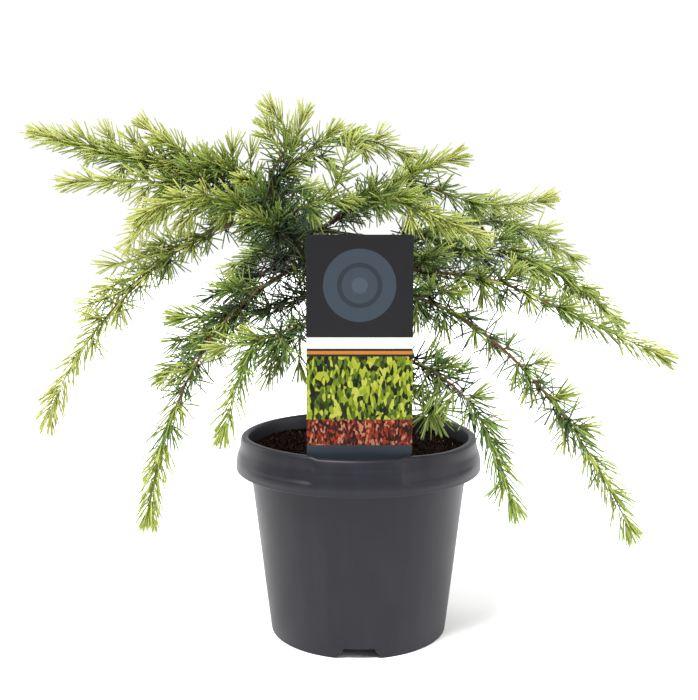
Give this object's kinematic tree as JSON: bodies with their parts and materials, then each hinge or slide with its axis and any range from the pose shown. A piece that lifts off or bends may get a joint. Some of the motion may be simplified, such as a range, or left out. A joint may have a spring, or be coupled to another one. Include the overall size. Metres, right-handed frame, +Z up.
{
  "type": "potted dwarf deodar cedar",
  "caption": "Dwarf spreading deodar cedar with arching golden shoots, rooted in a round plastic nursery pot with a blank plant card.",
  "frame": {"origin": "on the pot's axis, at the level of the flat underside that it stands on", "axes": "+Z up, +X to the right of the plant card's face, -Y the way the card faces"},
  "size_m": [0.4965, 0.3202, 0.4166],
  "materials": {
    "pot_plastic": "satin moulded polypropylene, anthracite",
    "compost": "damp bark compost, rough",
    "card": "printed plastic card, satin",
    "bark": "young cedar bark, olive brown, finely cracked",
    "needles": "golden green needles, satin"
  },
  "bodies": {
    "root": {"bough_back_high": "bark", "bough_back_left": "bark", "bough_back_low": "bark", "bough_back_right": "bark", "bough_front_drop": "bark", "bough_left_arch": "bark", "bough_left_back": "bark", "bough_left_drop": "bark", "bough_left_front": "bark", "bough_left_top": "bark", "bough_right_back": "bark", "bough_right_drop": "bark", "bough_right_front": "bark", "bough_right_level": "bark", "bough_right_long": "bark", "bough_right_rear": "bark", "bough_right_top": "bark", "foliage_back_high": "needles", "foliage_back_left": "needles", "foliage_back_low": "needles", "foliage_back_right": "needles", "foliage_crown_back": "needles", "foliage_crown_front": "needles", "foliage_crown_right": "needles", "foliage_front_crown": "needles", "foliage_front_drop_inner": "needles", "foliage_front_drop_outer": "needles", "foliage_front_left": "needles", "foliage_front_low": "needles", "foliage_leader": "needles", "foliage_leader_side": "needles", "foliage_left_arch_inner": "needles", "foliage_left_arch_outer": "needles", "foliage_left_back": "needles", "foliage_left_drop_inner": "needles", "foliage_left_drop_outer": "needles", "foliage_left_front": "needles", "foliage_left_level": "needles", "foliage_left_low": "needles", "foliage_left_mid": "needles", "foliage_left_top_inner": "needles", "foliage_left_top_outer": "needles", "foliage_left_upper": "needles", "foliage_right_back_inner": "needles", "foliage_right_back_outer": "needles", "foliage_right_drop_inner": "needles", "foliage_right_drop_outer": "needles", "foliage_right_front": "needles", "foliage_right_level_inner": "needles", "foliage_right_level_outer": "needles", "foliage_right_long_inner": "needles", "foliage_right_long_outer": "needles", "foliage_right_rear_inner": "needles", "foliage_right_rear_outer": "needles", "foliage_right_top": "needles", "plant_card": "card", "pot": "pot_plastic", "soil": "compost", "trunk": "bark"}
  },
  "joints": []
}
